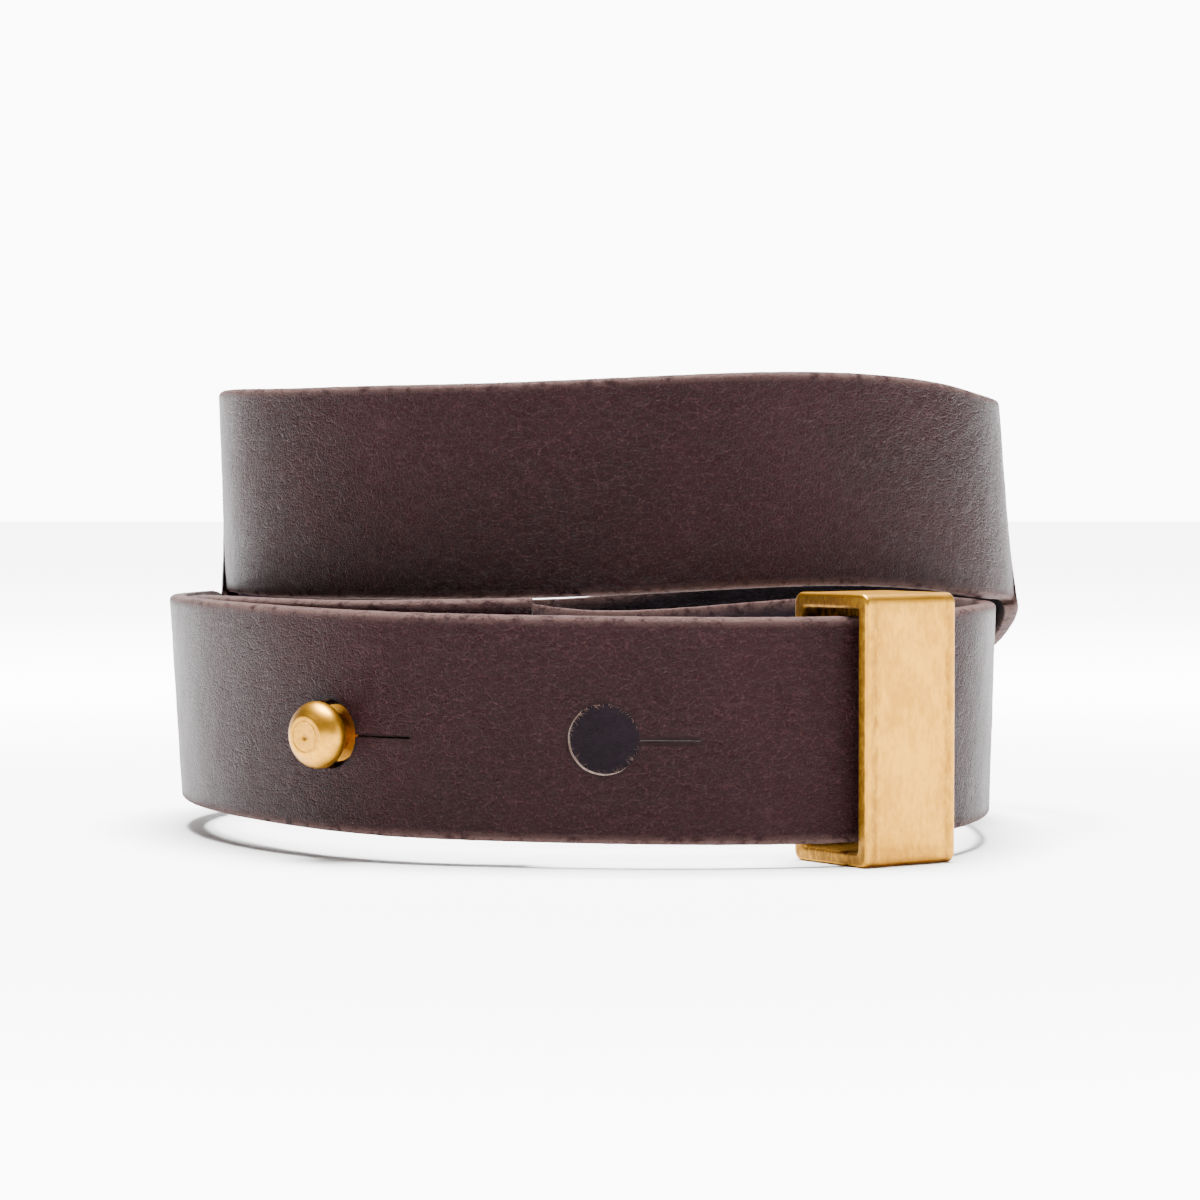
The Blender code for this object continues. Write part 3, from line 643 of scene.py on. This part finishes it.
def hole_fibres(number, material):
    """Loose fibres round a hole's rim."""
    radius = HOLE_DIAMETER / 2
    rng = np.random.default_rng(number)
    solid = bmesh.new()
    for _ in range(90):
        angle = rng.uniform(0.15, 2 * math.pi - 0.15)
        start = radius * rng.uniform(0.985, 1.01)
        reach = rng.uniform(0.0004, 0.0012)
        heading = angle + math.pi + rng.uniform(-1.2, 1.2)
        height = rng.uniform(-0.9, 1.0) * HALF_THICKNESS
        thick = rng.uniform(0.00003, 0.00006)
        base = Vector((start * math.cos(angle), start * math.sin(angle), height))
        end = base + Vector((math.cos(heading), math.sin(heading), rng.uniform(-0.4, 0.6))) * reach
        side = (end - base).cross(Vector((0, 0, 1))).normalized() * thick
        over = (end - base).cross(side).normalized() * thick
        ring = [solid.verts.new(base + offset) for offset in (side, over, -side, -over)]
        top = solid.verts.new(end)
        solid.faces.new(ring)
        for one, other in zip(ring, ring[1:] + ring[:1]):
            solid.faces.new((one, other, top))
    bmesh.ops.recalc_face_normals(solid, faces=solid.faces)
    mesh = bpy.data.meshes.new("hole_fibres")
    solid.to_mesh(mesh)
    solid.free()
    mesh.materials.append(material)
    item = bpy.data.objects.new("hole_fibres", mesh)
    item.matrix_world = hole_matrix(number)
    bpy.context.scene.collection.objects.link(item)
    return item


def build_strap():
    leather = leather_material()
    raw = raw_edge_material()
    front_start = KEEPER_LENGTH - 0.030
    coil = strap_mesh("strap_coil", 0, front_start, False, [leather])
    front = strap_mesh("strap_front", front_start, SEAM_LENGTH, False, [leather, raw])
    tail = strap_mesh("strap_tail_end", SEAM_LENGTH, length_at(TIP_TURN), True, [leather, raw])
    cut_and_apply(front, [slit_hole_cutter(2, LAST_SLIT_LENGTH, raw)])
    cut_and_apply(tail, [slit_hole_cutter(0, SLIT_LENGTH, raw),
                         slit_hole_cutter(1, SLIT_LENGTH, raw)])
    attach(coil, "strap")
    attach(front, "strap")
    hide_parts("strap_inner_turn", "strap_upper_turn")
    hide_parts("strap_lower_return")
    bend_start = matrix_at(SEAM_LENGTH + 0.004).translation
    bend_end = matrix_at(STUD_LENGTH - 0.016).translation
    fibres = hole_fibres(1, raw)
    for piece in (tail, fibres):
        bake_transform(piece)
    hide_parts("strap_tail")


# ---------------------------------------------------------------- brass

def turned(name, profile, matrix, material, segments=96):
    """A turned piece from (radius, height, wear) points, the first and last on the axis."""
    points = []
    wears = []
    faces = []
    for radius, height, wear in profile[1:-1]:
        for step in range(segments):
            angle = 2 * math.pi * step / segments
            points.append((radius * math.cos(angle), radius * math.sin(angle), height))
            wears.append(wear)
    rings = len(profile) - 2
    for ring in range(rings - 1):
        for step in range(segments):
            a = ring * segments + step
            b = ring * segments + (step + 1) % segments
            faces.append((a, b, b + segments, a + segments))
    for end, ring in ((profile[0], 0), (profile[-1], rings - 1)):
        points.append((0, 0, end[1]))
        wears.append(end[2])
        for step in range(segments):
            faces.append((len(points) - 1, ring * segments + step, ring * segments + (step + 1) % segments))
    mesh = bpy.data.meshes.new(name)
    mesh.from_pydata(points, [], faces)
    layer = mesh.attributes.new("wear", "FLOAT", "POINT")
    layer.data.foreach_set("value", wears)
    mesh.materials.append(material)
    fix_normals(mesh)
    item = bpy.data.objects.new(name, mesh)
    item.matrix_world = matrix
    bpy.context.scene.collection.objects.link(item)
    return item


def stud_profile():
    """(radius, height, wear) points of the stud: collar, neck, domed head and ringed flat face."""
    collar_top = LAYER_GAP + STUD_COLLAR_THICKNESS
    bottom = LAYER_GAP + STRAP_THICKNESS + STUD_HEAD_RISE
    top = bottom + STUD_HEAD_HEIGHT
    neck = STUD_NECK_DIAMETER / 2
    head = STUD_HEAD_DIAMETER / 2
    face = STUD_FACE_DIAMETER / 2
    equator = bottom + 0.4 * STUD_HEAD_HEIGHT
    profile = [(0, LAYER_GAP, 0.5), (STUD_COLLAR_DIAMETER / 2, LAYER_GAP, 0.5),
               (STUD_COLLAR_DIAMETER / 2, collar_top, 0.5), (neck, collar_top, 0.6), (neck, bottom, 0.6)]
    for degrees in range(-80, 0, 10):
        angle = math.radians(degrees)
        profile.append((neck + (head - neck) * math.cos(angle),
                        equator + (equator - bottom) * math.sin(angle), 0.35))
    top_start = math.acos(face / head)
    crown = (top - 0.00025 - equator) / math.sin(top_start)
    for step in range(13):
        angle = top_start * step / 12
        profile.append((head * math.cos(angle), equator + crown * math.sin(angle), 0.0))
    profile += [(face - 0.00018, top - 0.00005, 0.0), (face - 0.0004, top, 0.15),
                (face - 0.00095, top, 0.35), (face - 0.0010, top - 0.00006, 0.9),
                (face - 0.00108, top - 0.00006, 0.9), (face - 0.00113, top, 0.35)]
    for radius in (0.0018, 0.0014, 0.0010, 0.0007):
        profile.append((radius, top, 0.30))
    profile += [(0.0005, top - 0.00005, 0.6), (0.0002, top - 0.0002, 0.8), (0, top - 0.0002, 0.8)]
    return profile


def build_stud():
    seat = matrix_at(STUD_LENGTH, HOLE_DROPS[0], -HALF_THICKNESS - LAYER_GAP)
    stud = turned("stud_brass", stud_profile(), seat, brass_material("stud_brass", 0.7))
    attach(stud, "stud")
    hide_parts("stud_head")
    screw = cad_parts["stud_screw"]
    screw.material_slots[0].material = brass_material("screw_brass", 0.6)


def keeper_matrix():
    """Frame of the loop: X along the strap towards the tail, Y outward, Z up, on its middle."""
    centre, _, _, out = (Vector(rows[0]) for rows in strap_frames([turn_at(KEEPER_LENGTH)]))
    out = Vector((out.x, out.y, 0)).normalized()
    side = Vector((0, 0, 1)).cross(out)
    front = HALF_THICKNESS + KEEPER_FRONT + KEEPER_PLATE
    matrix = Matrix((-side, out, Vector((0, 0, 1)))).transposed().to_4x4()
    matrix.translation = centre + Vector(SHIFT) + out * (front - KEEPER_DEPTH / 2)
    matrix.translation.z = KEEPER_HEIGHT / 2
    return matrix


def loop_path(inset, radius, per_side=40, per_corner=8):
    """(depth, height) points round the loop's rectangle, pulled in by an inset, with round corners."""
    half_depth = KEEPER_DEPTH / 2 - inset
    half_height = KEEPER_HEIGHT / 2 - inset
    corners = ((1, 1, 0), (-1, 1, 90), (-1, -1, 180), (1, -1, 270))
    path = []
    for index, (side, level, first) in enumerate(corners):
        middle = (side * (half_depth - radius), level * (half_height - radius))
        for step in range(per_corner + 1):
            angle = math.radians(first + 90 * step / per_corner)
            path.append((middle[0] + radius * math.cos(angle), middle[1] + radius * math.sin(angle)))
        next_side, next_level, _ = corners[(index + 1) % 4]
        following = (next_side * (half_depth - radius), next_level * (half_height - radius))
        angle = math.radians(first + 90)
        start = path[-1]
        end = (following[0] + radius * math.cos(angle), following[1] + radius * math.sin(angle))
        for step in range(1, per_side):
            share = step / per_side
            path.append((start[0] + (end[0] - start[0]) * share, start[1] + (end[1] - start[1]) * share))
    return path


def keeper_section():
    """(across the plate's width, inset from its outer face) points round the plate's rounded section."""
    half_width = KEEPER_WIDTH / 2
    flat = KEEPER_WIDTH - 2 * KEEPER_ROUND
    turns = [math.radians(90 * step / KEEPER_ROUND_STEPS) for step in range(KEEPER_ROUND_STEPS + 1)]
    rising = [(KEEPER_ROUND * (1 - math.sin(turn)), KEEPER_ROUND * (1 - math.cos(turn))) for turn in turns]
    falling = [(KEEPER_ROUND * (1 - math.cos(turn)), KEEPER_ROUND * (1 - math.sin(turn))) for turn in turns]
    rows = range(KEEPER_ROWS + 1)
    section = [(-half_width + KEEPER_ROUND + flat * row / KEEPER_ROWS, 0.0) for row in rows]
    section += [(half_width - side, inset) for side, inset in rising[1:]]
    section += [(half_width - side, KEEPER_PLATE - inset) for side, inset in falling]
    section += [(half_width - KEEPER_ROUND - flat * row / KEEPER_ROWS, KEEPER_PLATE) for row in rows[1:]]
    section += [(-half_width + side, KEEPER_PLATE - inset) for side, inset in rising[1:]]
    section += [(-half_width + side, inset) for side, inset in falling[:-1]]
    return section


def keeper_point(along, y, z, inset):
    """A point of the loop, pushed a little in or out by its dents and its fine unevenness."""
    dent = noise.noise(Vector((along * 260, y * 260, z * 260)))
    fine = noise.noise(Vector((along * 1100, y * 1100, z * 1100)))
    push = 0.00003 * dent + 0.000012 * fine
    on_front_or_back = abs(y / KEEPER_DEPTH) > abs(z / KEEPER_HEIGHT)
    outwards = Vector((0, 1, 0)) if on_front_or_back else Vector((0, 0, 1))
    sign = math.copysign(1, y if on_front_or_back else z) * (1 if inset < KEEPER_PLATE / 2 else -1)
    return Vector((along, y, z)) + outwards * sign * push


def build_keeper():
    """The brass loop: a plate bent round a rectangle, with soft worn edges, dents and patina."""
    rings = []
    for along, inset in keeper_section():
        radius = KEEPER_OUTER_RADIUS - (KEEPER_OUTER_RADIUS - KEEPER_INNER_RADIUS) * inset / KEEPER_PLATE
        rings.append([(along, y, z, inset) for y, z in loop_path(inset, radius)])
    points = [keeper_point(*row) for ring in rings for row in ring]
    wears = [keeper_wear(*row) for ring in rings for row in ring]
    count = len(rings[0])
    faces = []
    for ring in range(len(rings)):
        following = (ring + 1) % len(rings)
        for step in range(count):
            other = (step + 1) % count
            faces.append((ring * count + step, ring * count + other,
                          following * count + other, following * count + step))
    mesh = bpy.data.meshes.new("keeper_brass")
    mesh.from_pydata(points, [], faces)
    layer = mesh.attributes.new("wear", "FLOAT", "POINT")
    layer.data.foreach_set("value", wears)
    mesh.materials.append(brass_material("keeper_brass", 1.0))
    fix_normals(mesh)
    item = bpy.data.objects.new("keeper_brass", mesh)
    item.matrix_world = keeper_matrix()
    bpy.context.scene.collection.objects.link(item)
    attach(item, "keeper")
    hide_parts("keeper_loop")


def keeper_wear(along, y, z, inset):
    """Patina of the loop: 0 on rubbed edges and the plate's middle, high inside and beside the edges."""
    if inset > 0.0004:
        return 0.75 if inset < KEEPER_PLATE - 0.0004 else 0.9
    from_side = KEEPER_WIDTH / 2 - abs(along)
    from_top = KEEPER_HEIGHT / 2 - abs(z)
    band = math.exp(-((from_side - 0.0016) / 0.0006) ** 2) * 0.55
    band = max(band, math.exp(-((from_top - 0.0022) / 0.0009) ** 2) * 0.25)
    return band if from_side > 0.0008 else 0.0


# ---------------------------------------------------------------- stage

def area_light(name, place, target, size, power, tone=(1, 1, 1)):
    data = bpy.data.lights.new(name, "AREA")
    data.shape = "RECTANGLE"
    data.size, data.size_y = size
    data.energy = power
    data.color = tone
    item = bpy.data.objects.new(name, data)
    item.location = place
    item.rotation_euler = (Vector(target) - Vector(place)).to_track_quat("-Z", "Y").to_euler()
    bpy.context.scene.collection.objects.link(item)
    return item


def floor_material():
    """White floor whose far part glows into the white background."""
    shader = Shader("floor_white")
    distance = shader.node("ShaderNodeVectorMath", operation="LENGTH")
    shader.link(shader.position(), distance.inputs[0])
    glow = shader.span(distance.outputs["Value"], 0.12, 0.50, 0.0, FLOOR_GLOW)
    shader.set(Base_Color=colour(FLOOR_WHITE, FLOOR_WHITE, FLOOR_WHITE), Emission_Color=colour(1, 1, 1),
               Roughness=0.8, Specular_IOR_Level=0.1, Emission_Strength=glow)
    return shader.material


def studio_world():
    """A white studio that is bright straight behind the belt and dim everywhere else."""
    world = bpy.data.worlds.new("studio")
    bpy.context.scene.world = world
    world.use_nodes = True
    tree = world.node_tree
    background = tree.nodes["Background"]
    background.inputs["Color"].default_value = colour(1, 1, 1)
    parts = tree.nodes.new("ShaderNodeSeparateXYZ")
    tree.links.new(tree.nodes.new("ShaderNodeTexCoord").outputs["Generated"], parts.inputs[0])
    spread = tree.nodes.new("ShaderNodeMapRange")
    spread.interpolation_type = "SMOOTHSTEP"
    tree.links.new(parts.outputs["Y"], spread.inputs["Value"])
    for key, number in (("From Min", GLOW_STARTS), ("From Max", GLOW_FULL), ("To Min", WORLD_FRONT),
                        ("To Max", WORLD_BACK)):
        spread.inputs[key].default_value = number
    tree.links.new(spread.outputs["Result"], background.inputs["Strength"])


def build_stage():
    bpy.ops.mesh.primitive_plane_add(size=12, location=(0, 0, 0))
    floor = bpy.context.object
    floor.name = "floor"
    floor.data.materials.append(floor_material())
    studio_world()
    area_light("top_panel", (0.0, 0.05, 1.0), (0, 0, 0), (0.6, 0.6), 105)
    area_light("right_panel", (0.75, -0.30, 0.20), (0.05, -0.05, 0.03), (0.5, 0.5), 3.0)


def build_camera():
    data = bpy.data.cameras.new("camera")
    data.lens = CAMERA_LENS
    data.sensor_width = 36
    data.clip_start = 0.01
    camera = bpy.data.objects.new("camera", data)
    camera.location = CAMERA_PLACE
    camera.rotation_euler = (math.radians(90 - CAMERA_DOWN), 0, 0)
    bpy.context.scene.collection.objects.link(camera)
    bpy.context.scene.camera = camera


build_strap()
build_stud()
build_keeper()
build_stage()
build_camera()

bpy.context.view_layer.update()
